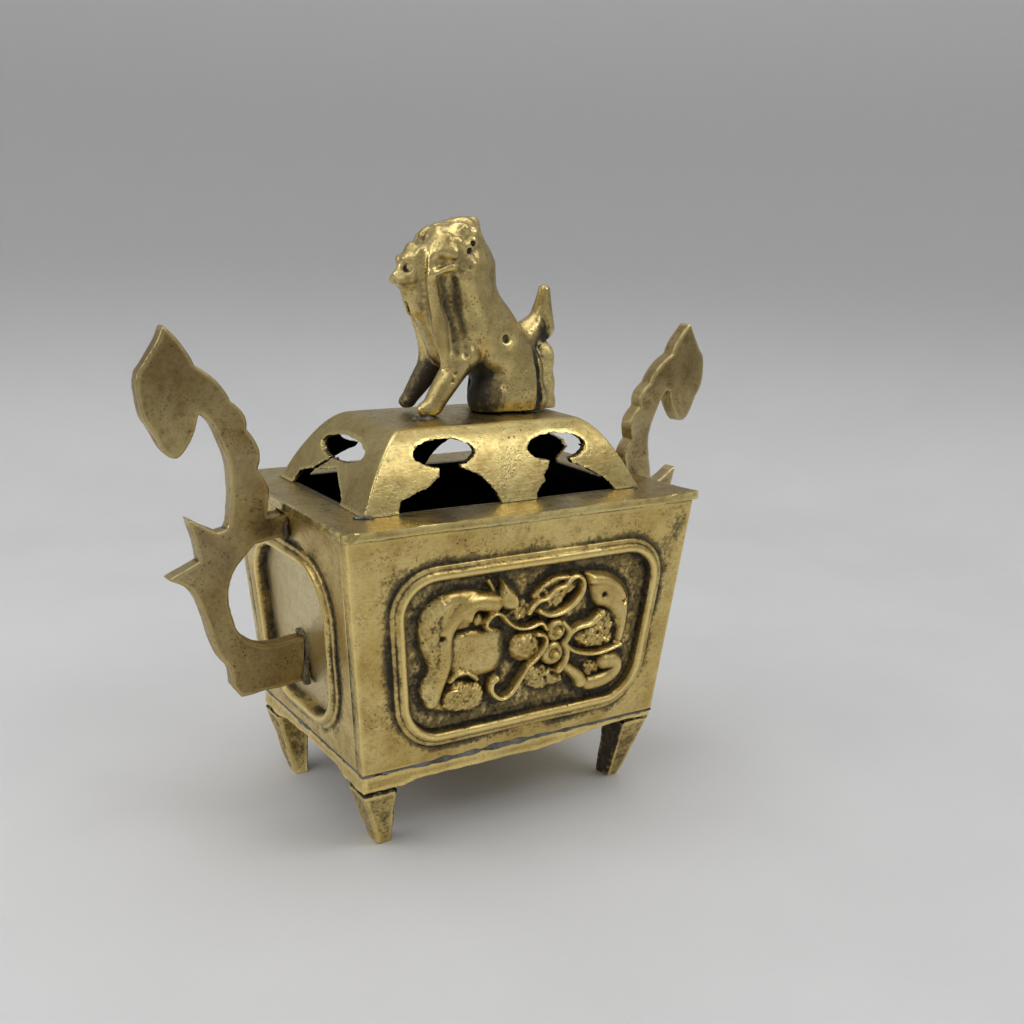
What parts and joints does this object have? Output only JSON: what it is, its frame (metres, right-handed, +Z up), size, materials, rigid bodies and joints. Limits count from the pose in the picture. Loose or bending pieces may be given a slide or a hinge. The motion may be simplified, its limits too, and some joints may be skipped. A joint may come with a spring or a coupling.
{
  "type": "incense burner",
  "caption": "Footed rectangular brass censer with moulded panels, dragon relief, dragon-head side handles and a lift-off pierced lid with a seated lion finial.",
  "frame": {"origin": "on the floor, under the middle of the burner", "axes": "+Z up; X runs from handle to handle, with the lion facing -X; the front panel faces -Y"},
  "size_m": [0.1488, 0.0672, 0.1347],
  "materials": {
    "body_brass": "aged brass, hand-polished, pitted, with dark patina in the recesses",
    "relief_brass": "cast brass with polished crests and near-black patina in the ground",
    "handle_brass": "duller aged brass with casting pits",
    "lid_brass": "aged brass sheet, brushed and worn bright on the edges",
    "lion_brass": "cast brass with porous patches and dark grooves",
    "rivet_brass": "dull brass",
    "solder": "dull grey soft solder"
  },
  "bodies": {
    "vessel": {"front_wall": "body_brass", "back_wall": "body_brass", "left_wall": "body_brass", "right_wall": "body_brass", "front_dragon_relief": "relief_brass", "back_dragon_relief": "relief_brass", "base_plate": "body_brass", "base_solder_bead": "solder", "front_left_foot": "body_brass", "front_right_foot": "body_brass", "back_left_foot": "body_brass", "back_right_foot": "body_brass", "front_left_corner_solder": "solder", "front_right_corner_solder": "solder", "back_left_corner_solder": "solder", "back_right_corner_solder": "solder", "left_handle": "handle_brass", "right_handle": "handle_brass", "left_handle_upper_solder": "solder", "left_handle_lower_solder": "solder", "right_handle_upper_solder": "solder", "right_handle_lower_solder": "solder"},
    "lid": {"lid_plate": "lid_brass", "lid_locating_collar": "lid_brass", "lid_dome": "lid_brass", "dome_front_left_solder": "solder", "dome_front_right_solder": "solder", "dome_back_left_solder": "solder", "dome_back_right_solder": "solder", "lion_finial": "lion_brass", "finial_rivet": "rivet_brass", "front_paw_solder": "solder"}
  },
  "joints": [
    {"name": "lid_lift", "type": "slide", "parent": "vessel", "child": "lid", "axis": [0, 0, 1], "range_m": [0, 0.06]}
  ]
}
